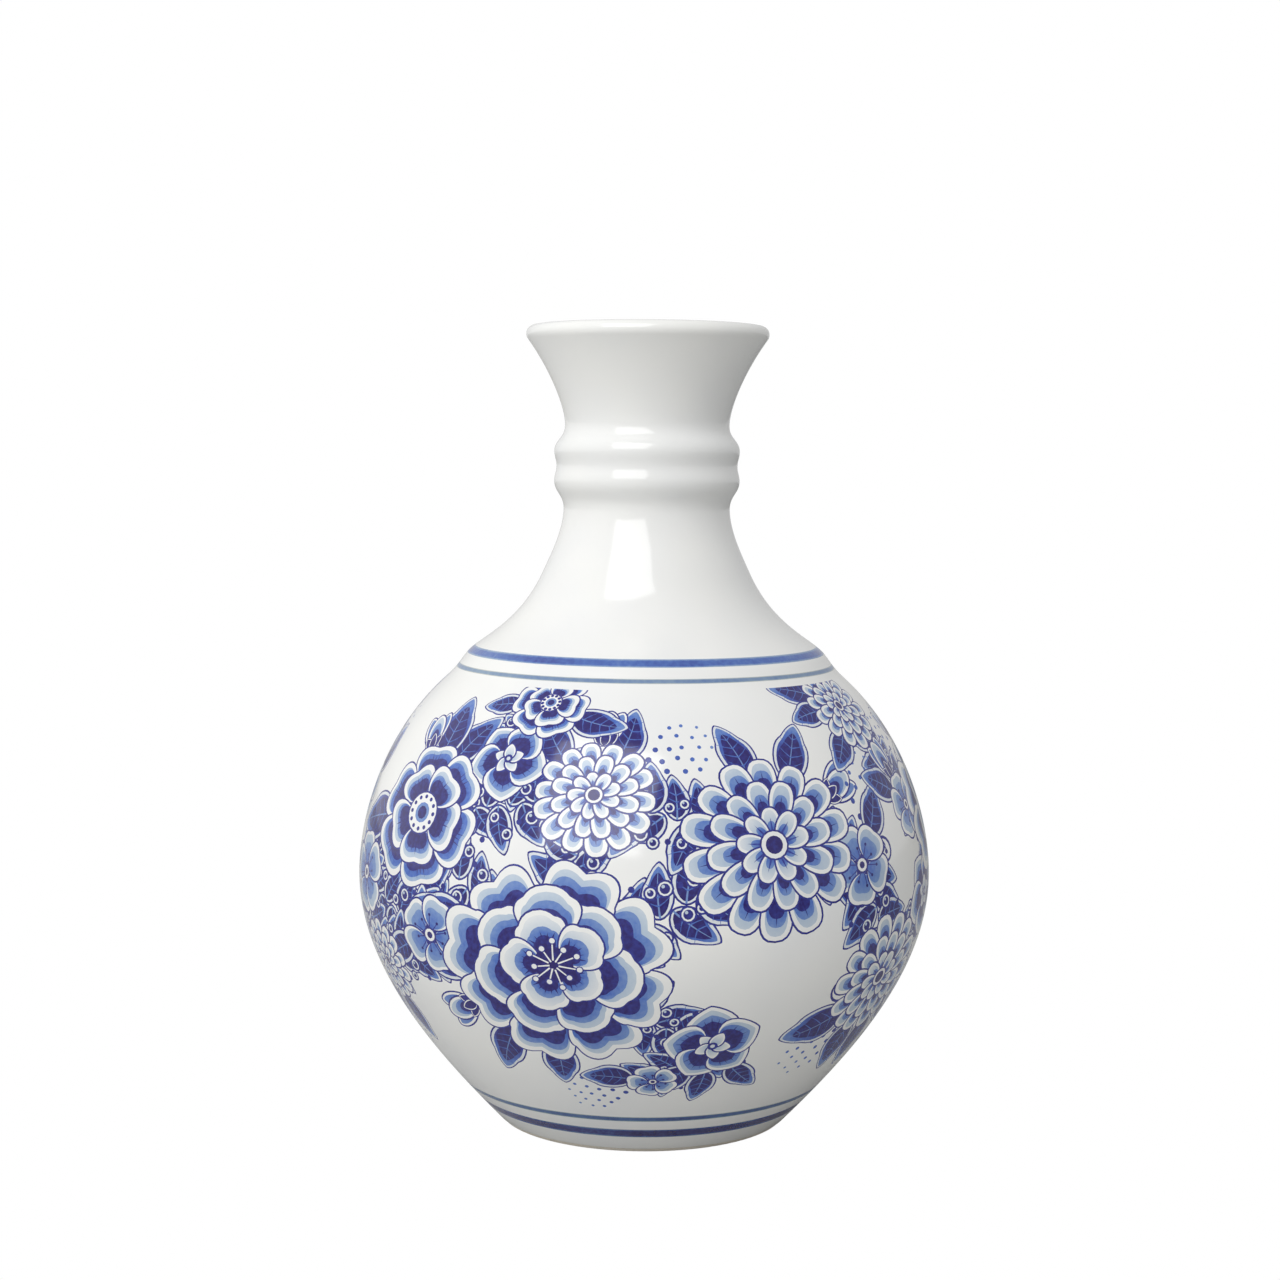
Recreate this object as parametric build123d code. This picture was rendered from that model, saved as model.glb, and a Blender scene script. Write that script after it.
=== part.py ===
"""Porcelain sake bottle: a round belly, a ringed neck and a trumpet mouth.

The fired clay is one hollow piece. Its coats lie over it, each a solid of its own: the glaze outside,
the glaze inside, the glaze under the base, and the cobalt bands and flower transfers that have sunk
into the outer glaze and lie flush in it.

Millimetres. The bottle stands on Z = 0 with its axis on Z, and -Y is the front.
"""

from build123d import *
from build123d.topology import SkipClean
import math
import os
from collections import namedtuple

# ---- Outline of the glazed outside, from the foot up. Each rise starts where the last one ends.
GLAZE_LINE = 0.8  # the glaze stops this far above the table
FOOT_RADIUS = 26.0
FOOT_LEAN = 43.7  # lean of the bowl where it leaves the foot, degrees from upright
BOWL_RISE = 43.3  # to the widest line
BELLY_RADIUS = 50.45
DOME_RISE = 34.4  # to the shoulder
SHOULDER_RADIUS = 35.05
SHOULDER_LEAN = 48.5
LEDGE_RISE = 3.8  # to the soft ledge that carries the shoulder bands
LEDGE_INSET = 3.15  # the ledge lies this far inside the shoulder
LEDGE_LEAN = 31.7
SLOPE_RISE = 14.7  # to the middle of the neck's slope
SLOPE_RADIUS = 18.2
SLOPE_LEAN = 23.8
NECK_RISE = 11.4  # to the narrow top of the neck
NECK_RADIUS = 14.6
LOWER_RING_RISE = 4.5  # to the crest of the lower ring
RING_RADIUS = 16.4  # crest of either ring
GROOVE_RISE = 2.6  # to the groove between the rings
GROOVE_RADIUS = 15.85
UPPER_RING_RISE = 2.7
WAIST_RISE = 4.1  # to the waist under the mouth
WAIST_RADIUS = 14.4
MOUTH_RISE = 17.7  # to the top of the lip
MOUTH_RADIUS = 21.3  # widest line of the lip
MOUTH_LEAN = 36.0

# ---- How far each curve runs straight on from its ends, as a share of the chord between them.
BOWL_FULLNESS = (0.40, 0.30)
DOME_FULLNESS = (0.25, 0.40)
LEDGE_FULLNESS = (0.35, 0.34)
SLOPE_FULLNESS = (0.15, 0.54)
NECK_FULLNESS = (0.25, 0.35)
RING_FULLNESS = (0.42, 0.42)
MOUTH_FULLNESS = (0.22, 0.38)

# ---- Inside of the bottle.
BASE_THICKNESS = 4.6
BELLY_WALL = 3.8  # clay and both glazes together, at the widest line
SHOULDER_WALL = 3.6
NECK_WALL = 3.1
LIP_THICKNESS = 3.0
HEEL_REACH = 2.6  # the floor turns up into the bowl this far outside the foot
HEEL_RISE = 3.2  # and is in line with the bowl this far above the floor

# ---- Foot ring and the well inside it.
FOOT_EDGE = 1.3  # either edge of the ring rounds in by this much
SEAT_WIDTH = 2.6  # the flat, unglazed, that the bottle stands on
WELL_DEPTH = 2.4
WELL_ROUND = 1.2

# ---- Coats.
GLAZE = 0.5
PRINT = 0.25  # depth of the cobalt in the glaze

# ---- Bands: height of the middle line and width, both up the axis.
FOOT_BAND_WIDE = (3.6, 1.7)  # above the glaze line
FOOT_BAND_NARROW = (6.85, 0.95)
SHOULDER_BAND_NARROW = (-1.65, 0.75)  # above the ledge
SHOULDER_BAND_WIDE = (1.1, 1.25)

# ---- Flower transfers: sheets laid edge to edge round the belly.
TRANSFERS = ("flower_transfer_front", "flower_transfer_back")
FIRST_SEAM = -180.0  # degrees about Z, where the first sheet starts
TRANSFER_FOOT_GAP = 1.9  # clear glaze down to the narrow foot band
TRANSFER_TOP_GAP = 1.1  # clear glaze up to the narrow shoulder band

BELLY_HEIGHT = GLAZE_LINE + BOWL_RISE
SHOULDER_HEIGHT = BELLY_HEIGHT + DOME_RISE
LEDGE_HEIGHT = SHOULDER_HEIGHT + LEDGE_RISE
LEDGE_RADIUS = SHOULDER_RADIUS - LEDGE_INSET
SLOPE_HEIGHT = LEDGE_HEIGHT + SLOPE_RISE
NECK_HEIGHT = SLOPE_HEIGHT + NECK_RISE
LOWER_RING_HEIGHT = NECK_HEIGHT + LOWER_RING_RISE
GROOVE_HEIGHT = LOWER_RING_HEIGHT + GROOVE_RISE
UPPER_RING_HEIGHT = GROOVE_HEIGHT + UPPER_RING_RISE
WAIST_HEIGHT = UPPER_RING_HEIGHT + WAIST_RISE
BOTTLE_HEIGHT = WAIST_HEIGHT + MOUTH_RISE

SEAT_RADIUS = FOOT_RADIUS - FOOT_EDGE  # outer edge of the flat
WELL_RADIUS = SEAT_RADIUS - SEAT_WIDTH - FOOT_EDGE
FLOOR_HEIGHT = WELL_DEPTH + BASE_THICKNESS
THROAT_RADIUS = min(NECK_RADIUS, WAIST_RADIUS) - NECK_WALL
LIP_ROUND = LIP_THICKNESS / 2

Station = namedtuple("Station", "radius height lean")  # a point of an outline, and its lean there


def at(radius, height):
    """A point of the half section that is turned about Z."""
    return Vector(radius, 0, height)


def station_at(station):
    return at(station.radius, station.height)


def upward(station):
    """Unit vector along the outline, towards the mouth."""
    lean = math.radians(station.lean)
    return Vector(math.sin(lean), 0, math.cos(lean))


def sunk(station, depth):
    """The station moved square off the outline, to the axis side."""
    along = upward(station)
    return Station(station.radius - depth * along.Z, station.height + depth * along.X, station.lean)


def curve(low, high, fullness):
    """Cubic from one station up to the next, along the outline at both."""
    start, end = station_at(low), station_at(high)
    chord = (end - start).length
    leaving = start + upward(low) * chord * fullness[0]
    arriving = end - upward(high) * chord * fullness[1]
    return Bezier(start, leaving, arriving, end)


def lip_point(angle, depth):
    """A point of the lip's round. 0 degrees is straight out, 90 the top and 180 straight in."""
    reach = LIP_ROUND - depth
    turn = math.radians(angle)
    radius = MOUTH_RADIUS - LIP_ROUND + reach * math.cos(turn)
    return at(radius, BOTTLE_HEIGHT - LIP_ROUND + reach * math.sin(turn))


def lip_station(angle, depth):
    point = lip_point(angle, depth)
    return Station(point.X, point.Z, MOUTH_LEAN)


def lip_arc(angle, depth):
    """The lip's round from this angle to its top."""
    top = 90.0
    ends = lip_point(angle, depth), lip_point(top, depth)
    return ThreePointArc(ends[0], lip_point((angle + top) / 2, depth), ends[1])


def outside(depth):
    """Edges from the glaze line to the top of the lip, this deep under the glazed surface."""
    glazed = [
        Station(FOOT_RADIUS, GLAZE_LINE, FOOT_LEAN),
        Station(BELLY_RADIUS, BELLY_HEIGHT, 0),
        Station(SHOULDER_RADIUS, SHOULDER_HEIGHT, -SHOULDER_LEAN),
        Station(LEDGE_RADIUS, LEDGE_HEIGHT, -LEDGE_LEAN),
        Station(SLOPE_RADIUS, SLOPE_HEIGHT, -SLOPE_LEAN),
        Station(NECK_RADIUS, NECK_HEIGHT, 0),
        Station(RING_RADIUS, LOWER_RING_HEIGHT, 0),
        Station(GROOVE_RADIUS, GROOVE_HEIGHT, 0),
        Station(RING_RADIUS, UPPER_RING_HEIGHT, 0),
        Station(WAIST_RADIUS, WAIST_HEIGHT, 0),
    ]
    fullness = [BOWL_FULLNESS, DOME_FULLNESS, LEDGE_FULLNESS, SLOPE_FULLNESS, NECK_FULLNESS]
    fullness += [RING_FULLNESS] * 4 + [MOUTH_FULLNESS]
    stations = [sunk(station, depth) for station in glazed]
    stations.append(lip_station(-MOUTH_LEAN, depth))
    edges = [curve(low, high, full) for low, high, full in zip(stations, stations[1:], fullness)]
    return [*edges, lip_arc(-MOUTH_LEAN, depth)]


def inside(depth):
    """Edges from the middle of the floor to the top of the lip, this deep behind the inner glaze."""
    floor = FLOOR_HEIGHT - depth
    heel = Station(FOOT_RADIUS + HEEL_REACH, FLOOR_HEIGHT + HEEL_RISE, FOOT_LEAN)
    heel = sunk(heel, -depth)
    shoulder = Station(SHOULDER_RADIUS, SHOULDER_HEIGHT, -SHOULDER_LEAN)
    ledge = Station(LEDGE_RADIUS, LEDGE_HEIGHT, -LEDGE_LEAN)
    slope = Station(SLOPE_RADIUS, SLOPE_HEIGHT, -SLOPE_LEAN)
    throat_low = Station(THROAT_RADIUS + depth, NECK_HEIGHT, 0)
    throat_high = Station(THROAT_RADIUS + depth, WAIST_HEIGHT, 0)
    stations = [
        heel,
        Station(BELLY_RADIUS - BELLY_WALL + depth, BELLY_HEIGHT, 0),
        sunk(shoulder, SHOULDER_WALL - depth),
        sunk(ledge, SHOULDER_WALL - depth),
        sunk(slope, NECK_WALL - depth),
        throat_low,
    ]
    fullness = [BOWL_FULLNESS, DOME_FULLNESS, LEDGE_FULLNESS, SLOPE_FULLNESS, NECK_FULLNESS]
    corner = heel.radius - (heel.height - floor) * math.tan(math.radians(heel.lean))
    flat_end = at(corner - (station_at(heel) - at(corner, floor)).length, floor)
    return [
        Line(at(0, floor), flat_end),
        Bezier(flat_end, at(corner, floor), station_at(heel)),
        *[curve(low, high, full) for low, high, full in zip(stations, stations[1:], fullness)],
        Line(station_at(throat_low), station_at(throat_high)),
        curve(throat_high, lip_station(180 - MOUTH_LEAN, depth), MOUTH_FULLNESS),
        lip_arc(180 - MOUTH_LEAN, depth),
    ]


def well(depth):
    """Edges from the middle of the base, down the well's side to the glaze line."""
    side = WELL_RADIUS + depth
    top = WELL_DEPTH + depth
    bend = min(WELL_ROUND, WELL_DEPTH - GLAZE_LINE) + depth
    middle = bend * math.sqrt(0.5)
    bend_starts, bend_ends = at(side - bend, top), at(side, top - bend)
    bend_middle = at(side - bend + middle, top - bend + middle)
    return [
        Line(at(0, top), bend_starts),
        ThreePointArc(bend_starts, bend_middle, bend_ends),
        Line(bend_ends, at(side, GLAZE_LINE)),
    ]


def closed(*runs):
    """Face bounded by runs of edges, with a straight line from the end of each to the next."""
    edges = []
    for run, following in zip(runs, runs[1:] + runs[:1]):
        gap_starts, gap_ends = run[-1] @ 1, following[0] @ 0
        edges += run
        if (gap_ends - gap_starts).length > 1e-6:
            edges.append(Line(gap_starts, gap_ends))
    return make_face(edges)


def reverse(run):
    """The same edges, walked the other way."""
    return [edge.reversed(reconstruct=True) for edge in run[::-1]]


def coat(surface, depth):
    """Face from a glazed surface to this deep under it."""
    return closed(surface(0), reverse(surface(depth)))


def turned(face, arc=360.0, start=0.0):
    return Rot(0, 0, start) * revolve(face, Axis.Z, revolution_arc=arc)


def clay_section():
    """The one wall of fired clay: foot ring, bowl, dome, neck and mouth."""
    shell, underside = outside(GLAZE), well(GLAZE)
    shell_foot, well_foot = shell[0] @ 0, underside[-1] @ 1
    seat_inner, seat_outer = at(SEAT_RADIUS - SEAT_WIDTH, 0), at(SEAT_RADIUS, 0)
    inner_edge = Bezier(well_foot, at(well_foot.X, 0), seat_inner)
    outer_edge = Bezier(seat_outer, at(shell_foot.X, 0), shell_foot)
    under = [*underside, inner_edge, Line(seat_inner, seat_outer), outer_edge]
    return closed(under, shell, reverse(inside(GLAZE)))


def printed(low, high):
    """Section of the cobalt between two heights, flush in the outer glaze."""
    reach = 2 * BELLY_RADIUS
    window = Polyline(at(0, low), at(reach, low), at(reach, high), at(0, high), close=True)
    with SkipClean():  # a cleaned cut melts the outline's curves into one
        return coat(outside, PRINT) & make_face(window)


def band(base, middle, width):
    """Section of a band, its middle this far above a base."""
    low = base + middle - width / 2
    return printed(low, low + width)


def transfer_section():
    """Section of the flower transfers, between the foot bands and the shoulder bands."""
    foot_middle, foot_width = FOOT_BAND_NARROW
    shoulder_middle, shoulder_width = SHOULDER_BAND_NARROW
    bottom = GLAZE_LINE + foot_middle + foot_width / 2 + TRANSFER_FOOT_GAP
    top = LEDGE_HEIGHT + shoulder_middle - shoulder_width / 2 - TRANSFER_TOP_GAP
    return printed(bottom, top)


def outer_glaze_section(sunk_in):
    """Section of the clear glaze, with a bed for each printed section that has sunk in."""
    with SkipClean():
        return coat(outside, GLAZE) - sunk_in


def bottle():
    """Every piece by its name."""
    bands = {
        "foot_band_wide": band(GLAZE_LINE, *FOOT_BAND_WIDE),
        "foot_band_narrow": band(GLAZE_LINE, *FOOT_BAND_NARROW),
        "shoulder_band_narrow": band(LEDGE_HEIGHT, *SHOULDER_BAND_NARROW),
        "shoulder_band_wide": band(LEDGE_HEIGHT, *SHOULDER_BAND_WIDE),
    }
    transfer = transfer_section()
    pieces = {
        "clay_body": turned(clay_section()),
        "outer_glaze": turned(outer_glaze_section([*bands.values(), transfer])),
        "inner_glaze": turned(coat(inside, GLAZE)),
        "base_glaze": turned(coat(well, GLAZE)),
    }
    pieces.update({name: turned(section) for name, section in bands.items()})
    arc = 360.0 / len(TRANSFERS)
    for count, name in enumerate(TRANSFERS):
        pieces[name] = turned(transfer, arc, FIRST_SEAM + count * arc)
    return pieces


os.makedirs("parts", exist_ok=True)
for name, piece in bottle().items():
    export_step(piece, f"parts/{name}.step")
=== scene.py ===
# Porcelain sake bottle with a garland of blue flowers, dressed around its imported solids.
# Metres, and millimetres where a name ends in _MM and in the drawing of the flowers. The bottle
# stands on Z = 0 with its axis on Z.
import math
from collections import namedtuple

import bpy
import numpy as np
from mathutils import Matrix, Vector, geometry
from mathutils.bvhtree import BVHTree


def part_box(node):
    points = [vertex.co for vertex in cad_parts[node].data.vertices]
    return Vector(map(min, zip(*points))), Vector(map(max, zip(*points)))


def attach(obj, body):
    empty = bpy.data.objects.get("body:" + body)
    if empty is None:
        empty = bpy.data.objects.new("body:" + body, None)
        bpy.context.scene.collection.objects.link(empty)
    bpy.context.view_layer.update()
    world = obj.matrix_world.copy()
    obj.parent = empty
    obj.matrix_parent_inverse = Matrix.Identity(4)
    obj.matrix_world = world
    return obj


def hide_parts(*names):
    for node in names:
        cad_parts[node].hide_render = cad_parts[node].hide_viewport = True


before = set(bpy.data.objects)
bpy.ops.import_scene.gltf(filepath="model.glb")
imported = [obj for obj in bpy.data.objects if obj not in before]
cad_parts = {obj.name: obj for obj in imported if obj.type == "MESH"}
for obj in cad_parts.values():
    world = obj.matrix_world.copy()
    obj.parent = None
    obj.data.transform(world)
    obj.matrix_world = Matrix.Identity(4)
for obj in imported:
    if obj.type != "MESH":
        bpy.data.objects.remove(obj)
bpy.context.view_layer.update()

# ---- Camera: a little above the shoulder, looking slightly down, as a bottle is shown for sale.
# It stands a hair to the left of the bottle and is rolled by less than half a degree.
CAMERA_PLACE = Vector((-0.00101, -0.4058, 0.1170))
CAMERA_DOWN = math.radians(4.535)
CAMERA_ROLL = math.radians(0.40)
FRAME_PIXELS = 1280
FOCAL_PIXELS = 2299

camera_data = bpy.data.cameras.new("camera")
camera_data.lens = camera_data.sensor_width * FOCAL_PIXELS / FRAME_PIXELS
camera = bpy.data.objects.new("camera", camera_data)
level = Matrix.Rotation(math.radians(90) - CAMERA_DOWN, 4, "X")
camera.matrix_world = Matrix.Translation(CAMERA_PLACE) @ level @ Matrix.Rotation(CAMERA_ROLL, 4, "Z")
bpy.context.scene.collection.objects.link(camera)
bpy.context.scene.camera = camera


# ---- White paper sweep: the plain ground that the bottle stands on, matt, lit as the bottle is.
# The camera sees it as pure white. Its colour darkens towards the right, painted shade of the floor there,
# so it throws soft light back up at the belly, less of it on the right.
SWEEP_HALF_WIDTH = 3.0
SWEEP_DROP = 0.00002  # keeps it clear of the foot, which is ground flat at Z = 0
# The darker right-hand paper colour is painted shade.
PAPER_LEFT, PAPER_RIGHT_PAINTED_SHADE = "#D2D2D0", "#A0A09E"
PAPER_FADE = 0.3  # metres left and right of the bottle over which the paper falls off


def linear(code):
    """sRGB hex colour as linear RGBA."""
    shares = [int(code[i : i + 2], 16) / 255 for i in (1, 3, 5)]
    return [s / 12.92 if s <= 0.04045 else ((s + 0.055) / 1.055) ** 2.4 for s in shares] + [1.0]


def add_node(tree, kind, settings=None, inputs=None):
    """Adds a shader node. settings are its properties; inputs are values, or sockets to link from."""
    node = tree.nodes.new(kind)
    for key, value in (settings or {}).items():
        setattr(node, key, value)
    for key, value in (inputs or {}).items():
        if isinstance(value, bpy.types.NodeSocket):
            tree.links.new(value, node.inputs[key])
        else:
            node.inputs[key].default_value = value
    return node


def new_material(name):
    """An empty node material and its node tree."""
    material = bpy.data.materials.new(name)
    material.use_nodes = True
    material.node_tree.nodes.clear()
    return material, material.node_tree


def seen_as_white(tree, lit, white):
    """Lights the object as the first shader does, and shows the camera the white one."""
    rays = add_node(tree, "ShaderNodeLightPath")
    return add_node(tree, "ShaderNodeMixShader", inputs={
        0: rays.outputs["Is Camera Ray"], 1: lit.outputs[0], 2: white.outputs[0]})


sweep_material, tree = new_material("white_paper")
place = add_node(tree, "ShaderNodeTexCoord").outputs["Object"]
across = add_node(tree, "ShaderNodeSeparateXYZ", inputs={"Vector": place}).outputs["X"]
share = add_node(tree, "ShaderNodeMapRange", inputs={
    "Value": across, "From Min": -PAPER_FADE, "From Max": PAPER_FADE})
# Painted shade: the paper's colour darkens from left to right.
tint = add_node(tree, "ShaderNodeMix", {"data_type": "RGBA"}, {
    "Factor": share.outputs["Result"], "A": linear(PAPER_LEFT), "B": linear(PAPER_RIGHT_PAINTED_SHADE)})
paper = add_node(tree, "ShaderNodeBsdfPrincipled", inputs={
    "Base Color": tint.outputs["Result"], "Roughness": 0.9})
white = add_node(tree, "ShaderNodeEmission", inputs={"Color": linear("#FFFFFF"), "Strength": 1.0})
seen = seen_as_white(tree, paper, white)
add_node(tree, "ShaderNodeOutputMaterial", inputs={"Surface": seen.outputs["Shader"]})
half = SWEEP_HALF_WIDTH
corners = [(-half, -half, 0), (half, -half, 0), (half, half, 0), (-half, half, 0)]
sweep_mesh = bpy.data.meshes.new("white_sweep")
sweep_mesh.from_pydata(corners, [], [(0, 1, 2, 3)])
sweep_mesh.materials.append(sweep_material)
sweep = bpy.data.objects.new("white_sweep", sweep_mesh)
sweep.location.z = -SWEEP_DROP
bpy.context.scene.collection.objects.link(sweep)


# ---- Studio light: one softbox at the upper left, whose pane shows in the glaze, and a pale room
# that grows lighter to the left, so the right side and the foot of the bottle lie in soft grey.
SOFTBOX_PLACE, SOFTBOX_AIM = Vector((-0.3, -0.73, 0.71)), Vector((0, 0, 0.07))
SOFTBOX_WIDTH, SOFTBOX_HEIGHT, SOFTBOX_WATTS = 0.76, 0.82, 5.2
ROOM_LIGHT, ROOM_LIGHT_LEFT = 0.57, 1.01

softbox_data = bpy.data.lights.new("window_softbox", "AREA")
softbox_data.shape = "RECTANGLE"
softbox_data.size, softbox_data.size_y, softbox_data.energy = SOFTBOX_WIDTH, SOFTBOX_HEIGHT, SOFTBOX_WATTS
softbox = bpy.data.objects.new("window_softbox", softbox_data)
softbox.location = SOFTBOX_PLACE
softbox.rotation_euler = (SOFTBOX_AIM - SOFTBOX_PLACE).to_track_quat("-Z", "Y").to_euler()
bpy.context.scene.collection.objects.link(softbox)

world = bpy.data.worlds.new("studio_room")
bpy.context.scene.world = world
world.use_nodes = True
tree = world.node_tree
tree.nodes.clear()
toward = add_node(tree, "ShaderNodeTexCoord").outputs["Generated"]
across = add_node(tree, "ShaderNodeSeparateXYZ", inputs={"Vector": toward}).outputs["X"]
strength = add_node(tree, "ShaderNodeMapRange", inputs={
    "Value": across, "From Min": 0.0, "From Max": -1.0, "To Min": ROOM_LIGHT, "To Max": ROOM_LIGHT_LEFT})
room = add_node(tree, "ShaderNodeBackground", inputs={
    "Color": linear("#FFFFFF"), "Strength": strength.outputs["Result"]})
white = add_node(tree, "ShaderNodeBackground", inputs={"Color": linear("#FFFFFF"), "Strength": 1.0})
seen = seen_as_white(tree, room, white)
add_node(tree, "ShaderNodeOutputWorld", inputs={"Surface": seen.outputs["Shader"]})
bpy.context.scene.view_settings.view_transform = "Standard"


# ---- Clay body: porcelain turned on a wheel or cast, then fired white and hard. Only its foot ring
# shows, wiped bare of glaze and ground flat, so it is dry, fine-grained and a little off-white.
MM = 0.001
GRAIN_MM = 0.35  # grain of ground biscuit; the real grain is finer than the render can show
GRAIN_DEPTH_MM = 0.04
BISCUIT_DARK, BISCUIT_LIGHT = "#D3CABB", "#EAE4D9"


def dress(names, material):
    """Gives the material to CAD pieces."""
    for name in names:
        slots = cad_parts[name].data.materials
        slots.clear()
        slots.append(material)


biscuit, tree = new_material("unglazed_porcelain_biscuit")
place = add_node(tree, "ShaderNodeTexCoord").outputs["Object"]
grain = add_node(tree, "ShaderNodeTexNoise", inputs={
    "Vector": place, "Scale": 1 / (GRAIN_MM * MM), "Detail": 3.0})
tint = add_node(tree, "ShaderNodeMix", {"data_type": "RGBA"}, {
    "Factor": grain.outputs["Fac"], "A": linear(BISCUIT_DARK), "B": linear(BISCUIT_LIGHT)})
rough = add_node(tree, "ShaderNodeBump", inputs={
    "Height": grain.outputs["Fac"], "Distance": GRAIN_DEPTH_MM * MM, "Strength": 0.62})
shader = add_node(tree, "ShaderNodeBsdfPrincipled", inputs={
    "Base Color": tint.outputs["Result"], "Normal": rough.outputs["Normal"], "Roughness": 0.72, "IOR": 1.5})
add_node(tree, "ShaderNodeOutputMaterial", inputs={"Surface": shader.outputs["BSDF"]})
dress(["clay_body"], biscuit)


# ---- Glazes: clear feldspar glaze, dipped over the outside, poured round the inside and brushed
# under the base. White from the clay behind it, hard and glossy, with a faint cool cloudiness.
# It ran a little in the kiln, so it softens every joint of the turned form.
OUTSIDE_MM = [  # radius, height and lean of the glazed outline, from the glaze line up
    (26.0, 0.8, 43.7), (50.45, 44.1, 0), (35.05, 78.5, -48.5), (31.9, 82.3, -31.7), (18.2, 97.0, -23.8),
    (14.6, 108.4, 0), (16.4, 112.9, 0), (15.85, 115.5, 0), (16.4, 118.2, 0), (14.4, 122.3, 0),
    (21.014, 137.618, 36),
]
FULLNESS = [  # how far each stretch of it keeps the lean of its lower and of its upper end
    (0.4, 0.3), (0.25, 0.4), (0.35, 0.34), (0.15, 0.54), (0.25, 0.35),
    (0.42, 0.42), (0.42, 0.42), (0.42, 0.42), (0.42, 0.42), (0.22, 0.38),
]
LIP_MM, LIP_ROUND_MM = (19.8, 138.5), 1.5
GLAZE_MM, PRINT_MM = 0.5, 0.25  # depth of the glaze, and of the cobalt sunk in it
RUN_MM = 0.7  # the glaze has rounded what is sharper than this
LIP_HELD_MM = 4  # but not within this of the lip's middle, and only partly over as much again below
NECK_MM = 100  # above this height the form turns more sharply
FINE_MM, COARSE_MM = 0.5, 1.4  # steps up the neck and up the belly
AROUND = 176  # faces round the bottle
CLOUD_MM = 28  # width of a cloud in the glaze
WAVE_MM, WAVE_DEPTH_MM = 9, 0.05  # slow waves left in the glaze
GLAZE_WHITE, GLAZE_COOL = "#F0F0ED", "#E9EAEA"
GLAZE_IOR, GLAZE_ROUGHNESS = 1.62, 0.11  # brighter in its shine than glass, a little blurred by the waves

Skin = namedtuple("Skin", "length radius height out rise")  # out and rise are shares of the normal


def leaning(degrees):
    """Direction in which an outline runs up that leans out by this much."""
    return np.array([math.sin(math.radians(degrees)), math.cos(math.radians(degrees))])


def glazed_skin(step=0.05):
    """The glazed outside as fine steps of length up it: radius, height and normal at each."""
    points = [np.array([OUTSIDE_MM[0][:2]])]
    t = np.linspace(0, 1, 400)[1:, None]
    for low, high, full in zip(OUTSIDE_MM, OUTSIDE_MM[1:], FULLNESS):
        start, end = np.array(low[:2]), np.array(high[:2])
        chord = math.dist(start, end)
        bend_low = start + leaning(low[2]) * chord * full[0]
        bend_high = end - leaning(high[2]) * chord * full[1]
        lower = (1 - t) ** 3 * start + 3 * (1 - t) ** 2 * t * bend_low
        points.append(lower + 3 * (1 - t) * t * t * bend_high + t**3 * end)
    turn = np.radians(np.linspace(-OUTSIDE_MM[-1][2], 90, 100))[1:]
    points.append(np.array(LIP_MM) + LIP_ROUND_MM * np.stack([np.cos(turn), np.sin(turn)], axis=1))
    points = np.concatenate(points)
    length = np.concatenate([[0], np.cumsum(np.hypot(*np.diff(points, axis=0).T))])
    even = np.arange(0, length[-1], step)
    radius, height = (np.interp(even, length, points[:, k]) for k in (0, 1))
    reach = int(3 * RUN_MM / step)
    weight = np.exp(-0.5 * (np.arange(-reach, reach + 1) * step / RUN_MM) ** 2)
    soft = np.clip((LIP_MM[1] - LIP_HELD_MM - height) / LIP_HELD_MM, 0, 1)
    softened = []
    for line in (radius, height):
        padded = np.pad(line, (reach, reach), "reflect", reflect_type="odd")
        run = np.convolve(padded, weight / weight.sum(), "valid")
        softened.append(soft * run + (1 - soft) * line)
    radius, height = softened
    across, up = np.gradient(radius), np.gradient(height)
    size = np.hypot(across, up)
    return Skin(even, radius, height, up / size, -across / size)


skin = glazed_skin()


def length_at(height):
    """Length up the skin at this height in metres. Only the lip has one height twice."""
    below = skin.height < LIP_MM[1]
    return np.interp(height / MM, skin.height[below], skin.length[below])


def under_skin(length, depth):
    """Radius and height, in mm, of points this deep under the glazed surface, and its normal."""
    out, rise = (np.interp(length, skin.length, v) for v in (skin.out, skin.rise))
    radius, height = (np.interp(length, skin.length, v) for v in (skin.radius, skin.height))
    return radius - depth * out, height - depth * rise, out, rise


def steps(start, end):
    """Lengths from start to end, finer up the neck."""
    middle = (start + end) / 2
    step = FINE_MM if middle > length_at(NECK_MM * MM) else COARSE_MM
    return np.linspace(start, end, max(1, math.ceil(abs(end - start) / step)) + 1)


def put_in_place(name, mesh, material, node):
    """Makes the mesh a piece of the bottle that stands for a CAD node."""
    mesh.materials.append(material)
    piece = bpy.data.objects.new(name, mesh)
    bpy.context.scene.collection.objects.link(piece)
    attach(piece, "root")
    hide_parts(node)


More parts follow.
